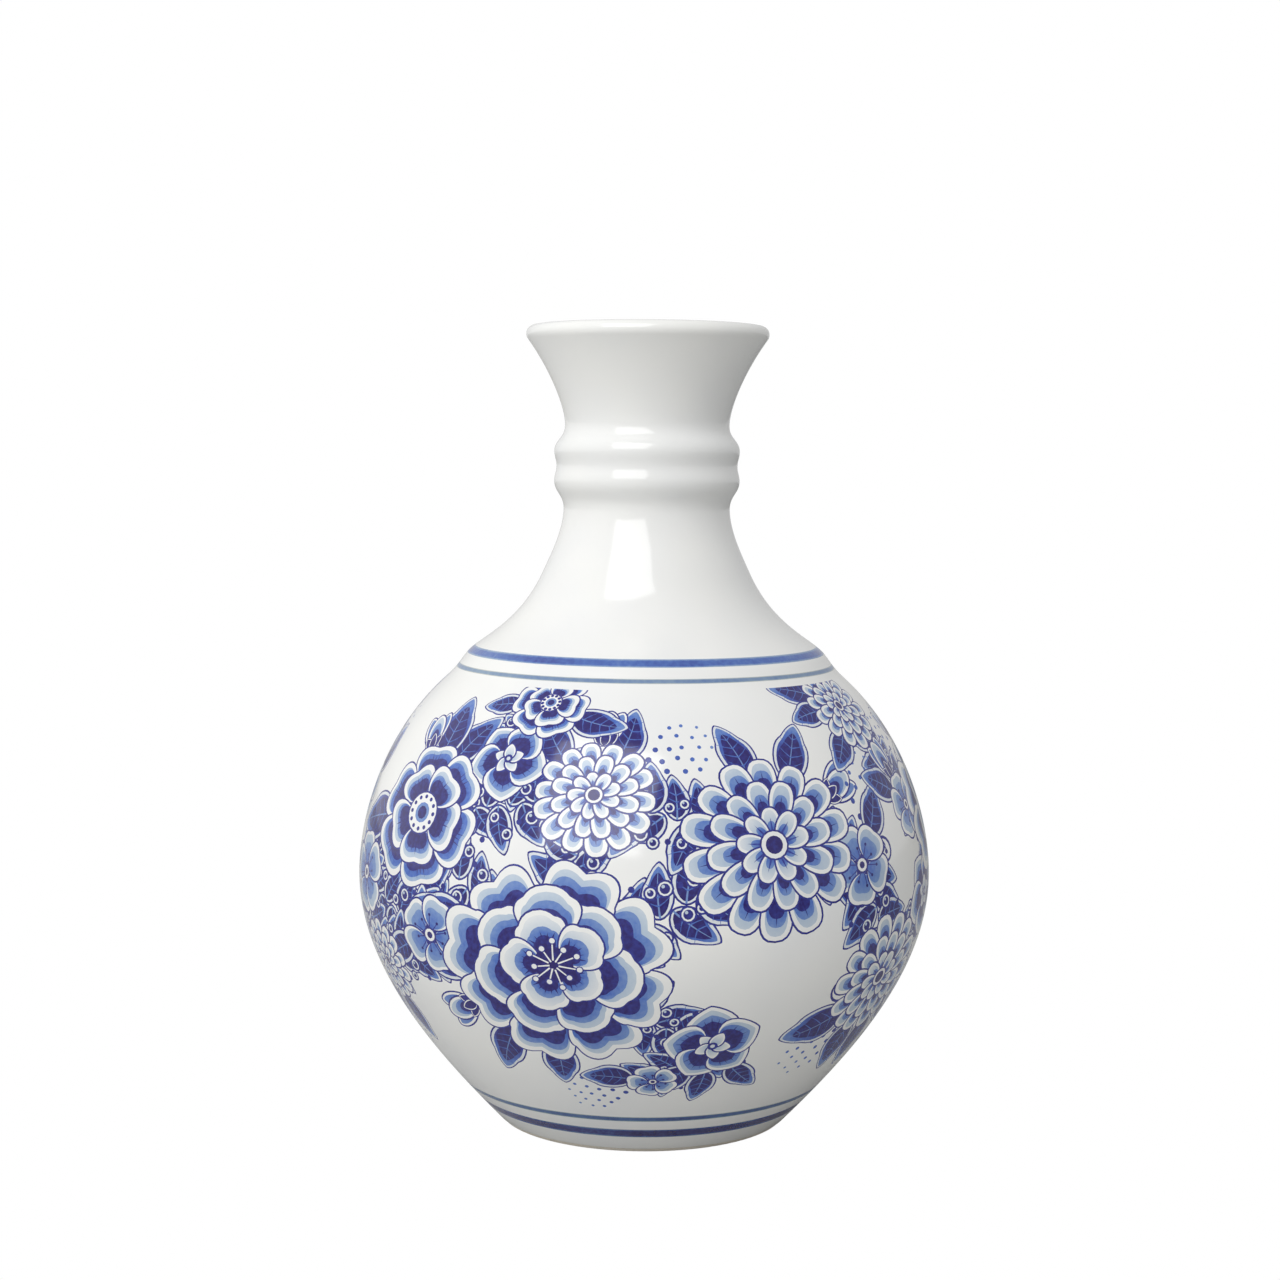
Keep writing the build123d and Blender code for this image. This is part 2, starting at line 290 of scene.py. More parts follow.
def lathe(name, runs, material, node):
    """Turns runs of (lengths, depth), walked in a ring, into a closed coat in a node's place."""
    lengths = np.concatenate([run for run, _ in runs])
    depths = np.concatenate([np.full(len(run), depth) for run, depth in runs])
    radius, height, out, rise = under_skin(lengths, depths)
    facing = np.where(depths > 0, -1, 1)
    turn = np.linspace(0, 2 * math.pi, AROUND, endpoint=False)[:, None] - math.pi / 2
    right, back, level = np.cos(turn), np.sin(turn), np.ones((AROUND, 1))
    place = np.stack([right * radius, back * radius, level * height], axis=2) * MM
    normal = np.stack([right * out, back * out, level * rise], axis=2) * facing[:, None]
    walked = np.hypot(np.diff(radius, append=radius[0]), np.diff(height, append=height[0]))
    share = np.concatenate([[0], np.cumsum(walked)]) / walked.sum()
    ring = len(lengths)
    faces, flat = [], []
    for column in range(AROUND):
        here, beside = column * ring, (column + 1) % AROUND * ring
        first, last = column / AROUND, (column + 1) / AROUND
        for row in range(ring):
            above = (row + 1) % ring
            low, high = share[row : row + 2]
            faces.append((here + row, beside + row, beside + above, here + above))
            flat += [(first, low), (last, low), (last, high), (first, high)]
    mesh = bpy.data.meshes.new(name)
    mesh.from_pydata(place.reshape(-1, 3).tolist(), [], faces)
    mesh.uv_layers.new(name="OFBake").data.foreach_set("uv", np.array(flat, dtype=np.float32).ravel())
    mesh.shade_smooth()
    mesh.normals_split_custom_set_from_vertices(normal.reshape(-1, 3).tolist())
    put_in_place(name, mesh, material, node)


def glaze_colour(tree, place):
    """Colour socket of the clear glaze over white clay."""
    cloud = add_node(tree, "ShaderNodeTexNoise", inputs={
        "Vector": place, "Scale": 1 / (CLOUD_MM * MM), "Detail": 2.0})
    share = add_node(tree, "ShaderNodeMapRange", inputs={
        "Value": cloud.outputs["Fac"], "From Min": 0.35, "From Max": 0.65})
    tint = add_node(tree, "ShaderNodeMix", {"data_type": "RGBA"}, {
        "Factor": share.outputs["Result"], "A": linear(GLAZE_COOL), "B": linear(GLAZE_WHITE)})
    return tint.outputs["Result"]


def finish_in_glaze(tree, place, colour):
    """Gives the material its surface: the glaze, gently waved, over this colour."""
    wave = add_node(tree, "ShaderNodeTexNoise", inputs={
        "Vector": place, "Scale": 1 / (WAVE_MM * MM), "Detail": 1.0})
    ripple = add_node(tree, "ShaderNodeBump", inputs={
        "Height": wave.outputs["Fac"], "Distance": WAVE_DEPTH_MM * MM, "Strength": 0.5})
    shader = add_node(tree, "ShaderNodeBsdfPrincipled", inputs={
        "Base Color": colour, "Normal": ripple.outputs["Normal"],
        "Roughness": GLAZE_ROUGHNESS, "IOR": GLAZE_IOR})
    add_node(tree, "ShaderNodeOutputMaterial", inputs={"Surface": shader.outputs["BSDF"]})


white_glaze, tree = new_material("clear_feldspar_glaze")
place = add_node(tree, "ShaderNodeTexCoord").outputs["Object"]
finish_in_glaze(tree, place, glaze_colour(tree, place))
dress(["inner_glaze", "base_glaze"], white_glaze)

BEDS = [  # what has sunk into the glaze, from the foot up
    "foot_band_wide", "foot_band_narrow", "flower_transfer_front",
    "shoulder_band_narrow", "shoulder_band_wide",
]
runs, reached = [], 0.0
for bed in BEDS:
    low, high = (length_at(corner[2]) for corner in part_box(bed))
    runs += [(steps(reached, low), 0.0), (steps(low, high), PRINT_MM)]
    reached = high
neck, top = length_at(NECK_MM * MM), skin.length[-1]
runs += [(steps(reached, neck), 0.0), (steps(neck, top)[1:], 0.0), (steps(top, 0.0), GLAZE_MM)]
lathe("outer_glaze_coat", runs, white_glaze, "outer_glaze")


# ---- Bands: cobalt brushed on as the bottle turns on a banding wheel, wide and narrow, two at the
# foot and two at the shoulder. The brush leaves them darker along the middle, paler at the edges
# and uneven round the bottle, and the glaze makes them glossy.
COBALT = [  # colour of the glaze over more and more cobalt
    (0.0, "#FFFFFF"), (0.18, "#C9D8EA"), (0.38, "#8FAEDC"), (0.62, "#4E74CB"), (0.82, "#2F399E"),
    (1.0, "#21116D"),
]
BANDS = {  # ink of each, from 0 to 1, and a tint that dulls its blue, most at the foot, where the dulling is partly painted shade
    "shoulder_band_wide": (0.66, "#FFF9F0"), "shoulder_band_narrow": (0.47, "#FFF5E0"),
    "foot_band_wide": (0.91, "#FFF8DA"), "foot_band_narrow": (0.66, "#FFF8D4"),
}
FULL_SHARE, EDGE_LOSS = 0.45, 0.3  # share of a band that has its full ink, and what the edge lacks
BRUSH_MM, BRUSH_SWING = 12, 0.09  # from one dark stretch of the brush line to the next, and how dark
MOTTLE_MM, MOTTLE = 0.8, (0.9, 1.06)  # grain of the fired cobalt, and how much ink each grain keeps
NOISE_LOW, NOISE_HIGH = 0.3, 0.7  # nearly all of a noise lies between these


def cobalt(tree, place, ink):
    """Colour socket of clear glaze over this much cobalt, slightly mottled as it fires."""
    grain = add_node(tree, "ShaderNodeTexNoise", inputs={
        "Vector": place, "Scale": 1 / (MOTTLE_MM * MM), "Detail": 4.0})
    kept = add_node(tree, "ShaderNodeMapRange", inputs={
        "Value": grain.outputs["Fac"], "From Min": NOISE_LOW, "From Max": NOISE_HIGH,
        "To Min": MOTTLE[0], "To Max": MOTTLE[1]})
    fired = add_node(tree, "ShaderNodeMath", {"operation": "MULTIPLY"}, {
        0: ink, 1: kept.outputs["Result"]})
    ramp = add_node(tree, "ShaderNodeValToRGB", inputs={"Fac": fired.outputs["Value"]})
    stops = ramp.color_ramp.elements
    for position, _ in COBALT[1:-1]:
        stops.new(position)
    for stop, (position, code) in zip(stops, COBALT):
        stop.position, stop.color = position, linear(code)
    over_white = add_node(tree, "ShaderNodeMix", {"data_type": "RGBA", "blend_type": "MULTIPLY"}, {
        "Factor": 1.0, "A": glaze_colour(tree, place), "B": ramp.outputs["Color"]})
    return over_white.outputs["Result"]


def band_material(name, ink, dulling_tint):
    """Cobalt brushed on in a line round the bottle."""
    low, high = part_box(name)
    middle, half = (low[2] + high[2]) / 2, (high[2] - low[2]) / 2
    material, tree = new_material("cobalt_" + name)
    place = add_node(tree, "ShaderNodeTexCoord").outputs["Object"]
    height = add_node(tree, "ShaderNodeSeparateXYZ", inputs={"Vector": place}).outputs["Z"]
    above = add_node(tree, "ShaderNodeMath", {"operation": "SUBTRACT"}, {0: height, 1: middle})
    off = add_node(tree, "ShaderNodeMath", {"operation": "ABSOLUTE"}, {0: above.outputs["Value"]})
    fade = add_node(tree, "ShaderNodeMapRange", {"interpolation_type": "SMOOTHSTEP"}, {
        "Value": off.outputs["Value"], "From Min": half * FULL_SHARE, "From Max": half,
        "To Min": 0.0, "To Max": EDGE_LOSS})
    brush = add_node(tree, "ShaderNodeTexNoise", inputs={
        "Vector": place, "Scale": 1 / (BRUSH_MM * MM), "Detail": 2.0})
    load = add_node(tree, "ShaderNodeMapRange", inputs={
        "Value": brush.outputs["Fac"], "From Min": NOISE_LOW, "From Max": NOISE_HIGH,
        "To Min": ink - BRUSH_SWING, "To Max": ink + BRUSH_SWING})
    laid = add_node(tree, "ShaderNodeMath", {"operation": "SUBTRACT"}, {
        0: load.outputs["Result"], 1: fade.outputs["Result"]})
    # The tint dulls the blue; on the foot bands its extra greyness is painted shade.
    dulled = add_node(tree, "ShaderNodeMix", {"data_type": "RGBA", "blend_type": "MULTIPLY"}, {
        "Factor": 1.0, "A": cobalt(tree, place, laid.outputs["Value"]), "B": linear(dulling_tint)})
    finish_in_glaze(tree, place, dulled.outputs["Result"])
    return material


for name, (ink, dulling_tint) in BANDS.items():
    low, high = (length_at(corner[2]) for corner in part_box(name))
    runs = [(steps(low, high), 0.0), (steps(high, low), PRINT_MM)]
    lathe(name + "_brushed", runs, band_material(name, ink, dulling_tint), name)


# ---- Flower transfers: two sheets printed in cobalt, laid edge to edge round the belly and fired into
# the glaze, so they shine as it does. Flowers are drawn in dark line, their petals washed from deep
# blue to a white rim, over small dark leaves, berries, tendrils and dots.
BELLY_MM = max(skin.radius)
ROUND_MM = 2 * math.pi * BELLY_MM
LINE = 0.34  # width of the drawn outline
LINE_INK = 0.9
DARK, MID, PALE = (1.0, 0.94), (0.72, 0.5), (0.34, 0.16)  # three washes, each from its foot to its edge

Stroke = namedtuple("Stroke", "edge origin frame near far inks")  # one filled shape of the drawing


def stroke(edge, inks, near=0.0, far=1.0):
    """A filled shape. Its ink runs from the first value, near its origin, to the second, far from it."""
    return Stroke(np.asarray(edge, float), np.zeros(2), np.eye(2), near, far, inks)


def plain(edge, ink):
    return stroke(edge, (ink, ink))


def rotation(degrees):
    a = math.radians(degrees)
    return np.array([[math.cos(a), -math.sin(a)], [math.sin(a), math.cos(a)]])


def moved(strokes, offset=(0.0, 0.0), turn=0.0, size=1.0, squash=1.0, spin=0.0):
    """The strokes spun, flattened along Y, turned and moved. Angles in degrees."""
    matrix = size * rotation(turn) @ np.diag([1.0, squash]) @ rotation(spin)
    inverse = np.linalg.inv(matrix)
    placed = []
    for s in strokes:
        edge, origin = s.edge @ matrix.T + offset, matrix @ s.origin + offset
        placed.append(s._replace(edge=edge, origin=origin, frame=s.frame @ inverse))
    return placed


def petal(length, width, foot=0.7, tip=0.45, lobes=0, cut=0.0, start=0.0, points=26):
    """Edge of a petal that grows along +Y. foot and tip are round at 0.5 and pointed at 1."""
    turn = np.linspace(0, 2 * math.pi, points, endpoint=False)
    rise = (1 - np.cos(turn)) / 2
    widest = foot / (foot + tip)
    fullest = widest**foot * (1 - widest) ** tip
    across = np.sign(np.sin(turn)) * width / 2 * rise**foot * (1 - rise) ** tip / fullest
    along = rise * length
    if lobes:
        fan = np.arctan2(across, along + 1e-9)
        phase = (fan / np.abs(fan).max() + 1) / 2 * lobes * math.pi
        outer = np.clip((rise - 0.35) / 0.3, 0, 1)
        scale = 1 - cut * outer * (1 - np.abs(np.sin(phase)))
        across, along = across * scale, along * scale
    return np.stack([across, along + start], axis=1)


def disc(radius, points=16):
    turn = np.linspace(0, 2 * math.pi, points, endpoint=False)
    return radius * np.stack([np.cos(turn), np.sin(turn)], axis=1)


def wedge(start, end, width, tail=0.0):
    """A brush line that starts full and runs out to the width of its tail."""
    start, end = np.asarray(start, float), np.asarray(end, float)
    along = end - start
    side = np.array([-along[1], along[0]]) / (np.hypot(*along) + 1e-9)
    middle = start + 0.45 * along
    return [
        start + side * width / 2, start - side * width / 2, middle - side * width * 0.4,
        end - side * tail / 2, end + side * tail / 2, middle + side * width * 0.4,
    ]


def ribbon(points, width, tail=0.3):
    """A brush line along points, full at its first and tapered to this share at its last."""
    points = np.asarray(points, float)
    along = np.gradient(points, axis=0)
    side = np.stack([-along[:, 1], along[:, 0]], axis=1)
    side /= np.hypot(along[:, 0], along[:, 1])[:, None] + 1e-9
    half = width / 2 * np.linspace(1, tail, len(points))[:, None]
    return np.concatenate([points + side * half, (points - side * half)[::-1]])


def painted(length, width, washes, margin, streaks=0, hidden=0.2, line=LINE, points=24, **shape):
    """One petal: a dark line, a white margin, washes one in another, and streaks of the brush."""
    room = dict(shape, points=points)
    strokes = [
        plain(petal(length + 2 * line, width + 2 * line, start=-line, **room), LINE_INK),
        plain(petal(length, width, **room), 0.0),
    ]
    reach, breadth = length - margin, width - 2 * margin
    for share, inks in washes:
        edge = petal(reach * share, breadth * min(1, share * 1.08), **room)
        strokes.append(stroke(edge, inks, hidden * reach, share * reach))
    dark, inks = washes[-1]
    for number in range(streaks):
        lean = (number - (streaks - 1) / 2) / max(1, (streaks - 1) / 2)
        high = reach * min(0.92, dark * 1.22) * (1 - 0.2 * lean * lean - 0.07 * (number % 2))
        low = reach * max(0.18, hidden * 0.8)
        foot, tip = (lean * breadth * 0.11, low), (lean * breadth * 0.33, high)
        strokes.append(plain(wedge(foot, tip, 0.34 + 0.012 * length), min(1.0, inks[0] + 0.1)))
    return strokes


def ring(strokes, count, foot, start, rng, sway=2.5, swell=0.05):
    """Copies of a petal round the middle, their feet on a circle, each turned and sized a bit apart."""
    around = []
    for number in range(count):
        turn = start + 360 * number / count + rng.uniform(-sway, sway)
        around += moved(moved(strokes, (0, foot), size=1 + rng.uniform(-swell, swell)), turn=turn)
    return around


def dotted(count, reach, dot, ink, start=0.0):
    """A ring of dots."""
    dots = []
    for number in range(count):
        turn = math.radians(start + 360 * number / count)
        dots += moved([plain(disc(dot, 9), ink)], np.array([math.cos(turn), math.sin(turn)]) * reach)
    return dots


def chrysanthemum(rng, r):
    """Three rows of narrow petals round a small dark eye."""
    washes = [(1, PALE), (0.84, MID), (0.68, DARK)]
    back = painted(r * 0.62, r * 0.34, washes, 0.7, streaks=1, hidden=0.35, foot=0.75, tip=0.38)
    washes = [(1, PALE), (0.76, MID), (0.6, DARK)]
    middle = painted(r * 0.52, r * 0.28, washes, 0.6, streaks=1, hidden=0.3, foot=0.7, tip=0.4)
    washes = [(1, (0.3, 0.06)), (0.6, MID)]
    front = painted(r * 0.34, r * 0.21, washes, 0.45, streaks=1, foot=0.6, tip=0.42)
    strokes = [plain(disc(r * 0.64, 24), 1.0)]
    strokes += ring(back, 14, r * 0.38, 0, rng)
    strokes += ring(middle, 12, r * 0.2, 9, rng)
    strokes += ring(front, 9, r * 0.08, 3, rng)
    eye = [(r * 0.17, LINE_INK), (r * 0.17 - LINE, 0.0), (r * 0.1, 1.0)]
    return strokes + [plain(disc(size), ink) for size, ink in eye]


def peony(rng, r):
    """Broad ruffled petals in three rows, open to one side, round a tuft of stamens."""
    frill = dict(foot=0.62, tip=0.34, lobes=4, cut=0.12, points=52)
    washes = [(1, PALE), (0.88, MID), (0.74, DARK)]
    back = painted(r * 0.62, r * 0.7, washes, 1.3, hidden=0.42, **frill)
    frill = dict(foot=0.62, tip=0.36, lobes=3, cut=0.12, points=40)
    washes = [(1, PALE), (0.84, MID), (0.68, DARK)]
    middle = painted(r * 0.5, r * 0.58, washes, 1.1, hidden=0.35, **frill)
    frill = dict(foot=0.6, tip=0.4, lobes=3, cut=0.12, points=34)
    washes = [(1, (0.24, 0.04)), (0.72, MID), (0.5, DARK)]
    front = painted(r * 0.38, r * 0.44, washes, 0.8, streaks=5, hidden=0.3, **frill)
    strokes = [plain(disc(r * 0.6, 24), 1.0)]
    strokes += ring(back, 8, r * 0.4, 10, rng, 4, 0.08)
    strokes += moved(ring(middle, 7, r * 0.24, 35, rng, 4, 0.07), (r * 0.02, r * 0.04))
    strokes += moved(ring(front, 5, r * 0.1, 0, rng, 5, 0.07), (r * 0.04, r * 0.08))
    heart = [plain(disc(r * 0.17, 18), 1.0)]
    for number in range(11):
        turn = math.radians(360 * number / 11 + 5)
        far = np.array([math.cos(turn), math.sin(turn)]) * r * (0.17 if number % 2 else 0.22)
        anther = [plain(disc(r * 0.024 + LINE * 0.6, 10), LINE_INK), plain(disc(r * 0.024, 10), 0.02)]
        heart.append(plain(wedge(far * 0.2, far, 0.3, 0.24), 0.0))
        heart += moved(anther, far)
    return strokes + moved(heart, (r * 0.04, r * 0.08))


def plum(rng, r):
    """Five round petals with a star of stamens."""
    notch = dict(foot=0.6, tip=0.4, lobes=2, cut=0.08, points=30)
    one = painted(r * 0.8, r * 0.92, [(1, (0.36, 0.2)), (0.72, (0.62, 0.46))], 0.65, **notch)
    strokes = [plain(disc(r * 0.3), 1.0), *ring(one, 5, r * 0.2, 0, rng, 3, 0.04)]
    for number in range(10):
        turn = math.radians(36 * number)
        far = np.array([math.cos(turn), math.sin(turn)]) * r * (0.52 if number % 2 else 0.42)
        strokes.append(plain(wedge(far * 0.35, far, 0.24, 0.18), LINE_INK))
    strokes += dotted(5, r * 0.42, 0.3, 1.0) + dotted(5, r * 0.52, 0.3, 1.0, 36)
    eye = [(r * 0.2, 12, LINE_INK), (r * 0.2 - 0.3, 12, 0.0), (r * 0.09, 8, 1.0)]
    return strokes + [plain(disc(size, points), ink) for size, points, ink in eye]


def bellflower(rng, r):
    """Five pointed petals grown together at the foot, with a fan of veins in each."""
    washes = [(1, PALE), (0.85, MID), (0.66, DARK)]
    one = painted(r * 0.85, r * 1.02, washes, 0.7, streaks=5, hidden=0.25, foot=0.55, tip=0.8)
    small = painted(r * 0.38, r * 0.28, [(1, (0.25, 0.0))], 0.3, foot=0.5, tip=0.7)
    strokes = [plain(disc(r * 0.4, 18), 1.0), *ring(one, 5, r * 0.15, 0, rng, 2, 0.03)]
    strokes.append(plain(disc(r * 0.22), 1.0))
    for number in range(5):
        strokes += moved(small, turn=36 + 72 * number)
    return strokes + [plain(disc(r * 0.11, 10), LINE_INK), plain(disc(r * 0.05, 8), 0.1)]


def camellia(rng, r):
    """Overlapping heart-shaped petals round a thick crown of stamens."""
    heart = dict(foot=0.6, tip=0.36, lobes=2, cut=0.1, points=36)
    washes = [(1, (0.42, 0.3)), (0.9, (0.8, 0.6)), (0.76, DARK)]
    back = painted(r * 0.66, r * 0.82, washes, 0.9, streaks=7, hidden=0.4, **heart)
    washes = [(1, PALE), (0.84, MID), (0.7, DARK)]
    front = painted(r * 0.52, r * 0.66, washes, 0.9, streaks=5, hidden=0.5, **heart)
    strokes = [plain(disc(r * 0.5, 24), 1.0)]
    strokes += ring(back, 6, r * 0.34, 12, rng, 4, 0.06)
    strokes += ring(front, 5, r * 0.18, 40, rng, 4, 0.05)
    strokes += [plain(disc(r * 0.3, 20), LINE_INK), plain(disc(r * 0.3 - LINE, 20), 0.0)]
    strokes += dotted(12, r * 0.22, 0.42, 0.9)
    return strokes + [plain(disc(r * 0.14, 12), 0.5), plain(disc(r * 0.09, 10), 1.0)]


def leaf(length, width, bend, veins=4, points=36):
    """A pointed leaf, washed nearly black-blue and paler at its edge, with a thin rib and veins."""
    def bent(points):
        points = np.array(points, float)
        points[:, 0] += bend * length * (points[:, 1] / length) ** 2
        return points

    shape = dict(foot=0.58, tip=0.74, lobes=5, cut=0.07, points=points)
    rim = bent(petal(length + 2 * LINE, width + 2 * LINE, start=-LINE, **shape))
    wash = bent(petal(length - 0.8, width - 1.1, start=0.3, **shape))
    deep = bent(petal(length * 0.8, width * 0.74, start=0.3, **shape))
    rib = bent([[0, t] for t in np.linspace(0, length * 0.9, 7)])
    strokes = [
        plain(rim, LINE_INK), plain(bent(petal(length, width, **shape)), 0.08),
        stroke(wash, (0.9, 0.5), 0.3 * length, length), plain(deep, 1.0), plain(ribbon(rib, 0.34, 0.2), 0.5),
    ]
    for number in range(1, veins + 1):
        low = length * (0.06 + 0.16 * number)
        out = width * 0.36 * math.sin(math.pi * min(1, 0.12 + low / length * 0.9)) + 0.3
        for side in (-out, out):
            vein = bent([[0, low], [side * 0.55, low + length * 0.06], [side, low + length * 0.13]])
            strokes.append(plain(ribbon(vein, 0.24, 0.3), 0.66))
    return strokes


def bud(r):
    """A closed flower on its cup."""
    side = painted(r * 0.8, r * 0.36, [(1, MID), (0.7, DARK)], 0.45, foot=0.6, tip=0.6)
    washes = [(1, PALE), (0.8, MID), (0.6, DARK)]
    front = painted(r * 0.76, r * 0.44, washes, 0.5, foot=0.6, tip=0.55)
    cup = painted(r * 0.36, r * 0.2, [(1, DARK)], 0.2, foot=0.6, tip=0.8, line=0.2)
    strokes = moved(side, turn=20) + moved(side, turn=-20) + front
    for lean in (-38, 38, 0):
        strokes += moved(cup, (0, -0.3), turn=lean)
    return strokes


def berry(radius):
    """A round berry with a glint."""
    rounds = [(radius + LINE, LINE_INK), (radius, 0.05), (radius - 0.3, 0.95)]
    strokes = [plain(disc(size, 11), ink) for size, ink in rounds]
    return strokes + moved([plain(disc(radius * 0.26, 7), 0.2)], (-radius * 0.25, radius * 0.3))


def curl(size, hand, turns=1.35, width=0.55):
    """A tendril that rolls up into a berry, to one hand or the other."""
    sweep = np.linspace(0, turns * 2 * math.pi, int(15 * turns) + 4)
    radius = size * (1 - 0.8 * np.linspace(0, 1, len(sweep)) ** 0.8)
    points = np.stack([hand * (size - radius * np.cos(sweep)), radius * np.sin(sweep)], axis=1)
    tip = moved([plain(disc(width * 0.85, 10), 0.95)], points[-1])
    return [plain(ribbon(points, width, 0.55), LINE_INK), *tip]


def spray(rng, rows=6, gap=2.5):
    """Dots in staggered rows, finer and paler row by row."""
    strokes = []
    for row in range(rows):
        count = min(2 + row, 2 * rows - 4 - row)
        share = row / (rows - 1)
        dot = plain(disc(0.62 - 0.26 * share, 8), 0.84 - 0.3 * share)
        for number in range(count):
            place = np.array([gap * 1.1 * (number - (count - 1) / 2), gap * (row + 0.8)])
            strokes += moved([dot], place + rng.uniform(-0.4, 0.4, 2))
    return strokes


def thicket(rng, start, end, wide=4.5):
    """Small dark leaves and berries that fill the ground between two flowers."""
    strokes = []
    count = max(3, round(math.dist(start, end) / 2.3))
    heading = math.degrees(math.atan2(*(end - start)[::-1])) - 90
    for number in range(count):
        place = start + (end - start) * (number + 0.5) / count
        side = 1 - 2 * (number % 2)
        long = rng.uniform(7, 9.5)
        blade = leaf(long, long * 0.58, side * 0.15, veins=3, points=24)
        strokes += moved(blade, place, turn=heading + side * rng.uniform(45, 95))
    outward = rotation(heading)[:, 0]
    for number in range(2 * count):
        place = start + (end - start) * (number + 0.5) / (2 * count)
        off = rng.uniform(0.35, 1.15) * wide * (1 - 2 * (number % 2))
        if number % 3:
            strokes += moved(berry(rng.uniform(0.75, 1.2)), place + off * outward)
        else:
            strokes += moved([plain(disc(0.55, 8), 0.9)], place + 1.35 * off * outward)
    return strokes


# Each flower: its place on the sheet in mm, its size, and the directions in degrees in which leaves,
# buds, tendrils and sprays of dots leave it.
Flower = namedtuple("Flower", "kind across up radius spin squash leaves buds curls dots")
GARLAND = [
    # front
    Flower(peony, -15, -9, 20, 20, 0.94, (160, 182, 238, 262), (205,), (), ()),
    Flower(chrysanthemum, 22, 12, 16, 0, 0.95, (62, 100, 345), (30,), (), ()),
    Flower(camellia, -44, 15, 14, 0, 0.93, (62, 88, 190), (112,), (40,), ()),
    Flower(chrysanthemum, 49, -14, 13, 12, 0.92, (215, 250, 285, 322), (), (195,), (228,)),
    Flower(bellflower, 13, -24, 9.5, 10, 0.95, (235, 268, 305), (), (330,), ()),
    Flower(chrysanthemum, -9, 21, 11, 8, 0.95, (130, 60), (85,), (), (30,)),
    Flower(plum, 40, 7, 7.5, 30, 0.92, (60,), (), (35,), (70,)),
    Flower(plum, -39, -5, 7.5, 50, 0.9, (200,), (), (), ()),
    Flower(plum, 2, -34, 5.5, 20, 0.9, (170,), (), (), (200,)),
    Flower(bellflower, -27, 27, 8.5, 40, 0.95, (), (), (), ()),
    Flower(camellia, -22, 41, 9.5, 10, 0.95, (190, 330), (), (), ()),
    Flower(chrysanthemum, 52, 38, 11, 0, 0.95, (150, 185, 230), (), (250,), ()),
    # right side
    Flower(peony, 80, 13, 17.5, -30, 0.92, (60, 90, 340), (115,), (150,), (140,)),
    Flower(bellflower, 64, -1, 8.5, 40, 0.92, (), (), (), ()),
    Flower(plum, 60, 15, 6.5, 10, 0.92, (150,), (110,), (120,), ()),
    Flower(camellia, 68, -21, 8.5, 10, 0.92, (250, 290, 330), (), (), (300,)),
    # back
    Flower(chrysanthemum, 112, -10, 15.5, 25, 0.94, (190, 240, 275, 305), (215,), (330,), (255,)),
    Flower(camellia, 143, 13, 14, 30, 0.94, (50, 85, 110), (130,), (30,), (60,)),
    Flower(plum, 100, 10, 7, 0, 0.93, (), (), (), ()),
    Flower(bellflower, 127, 5, 8.5, -10, 0.92, (95,), (), (75,), (110,)),
    Flower(plum, 133, -18, 6.5, 15, 0.92, (270, 320), (), (300,), (300,)),
    Flower(peony, -143, -9, 19, 50, 0.93, (160, 195, 235, 262, 290), (215,), (130,), (250,)),
    Flower(bellflower, -121, -24, 8, 0, 0.93, (250, 300), (275,), (330,), (320,)),
    Flower(plum, -157, 14, 6.5, 25, 0.93, (100,), (), (70,), ()),
    Flower(chrysanthemum, -111, 13, 15, 8, 0.94, (50, 80, 120), (100,), (140,), (130,)),
    Flower(plum, -131, 14, 6, 44, 0.93, (120,), (), (90,), ()),
    Flower(camellia, -84, 40, 10, 30, 0.95, (200, 240), (), (350,), (220,)),
    Flower(chrysanthemum, 121, 41, 10, 30, 0.95, (200, 330), (), (10,), (345,)),
    # left side
    Flower(camellia, -79, -10, 14, 18, 0.93, (190, 225, 260, 300), (280,), (330,), (240,)),
    Flower(bellflower, -93, 3, 8, 30, 0.93, (), (), (), ()),
    Flower(plum, -62, 2, 8, 12, 0.92, (), (), (), ()),
    Flower(plum, -75, 15, 6.5, 70, 0.92, (60, 110), (90,), (130,), (85,)),
    Flower(chrysanthemum, -57, -13, 8.5, 0, 0.9, (230, 275), (), (), (255,)),
]
THICKETS = [  # pairs of flowers of the garland, by number, with the ground between them filled
    (0, 1), (0, 2), (0, 4), (0, 5), (1, 5), (1, 6), (6, 3), (2, 9), (9, 10), (9, 5), (2, 5), (7, 2),
    (3, 15), (3, 13), (13, 12), (12, 14), (14, 11), (12, 16), (16, 19), (19, 17), (16, 20), (17, 27),
    (17, 23), (23, 21), (21, 24), (21, 22), (24, 26), (24, 29), (28, 30), (30, 2), (31, 26), (30, 7),
    (32, 30), (32, 7), (4, 8),
]


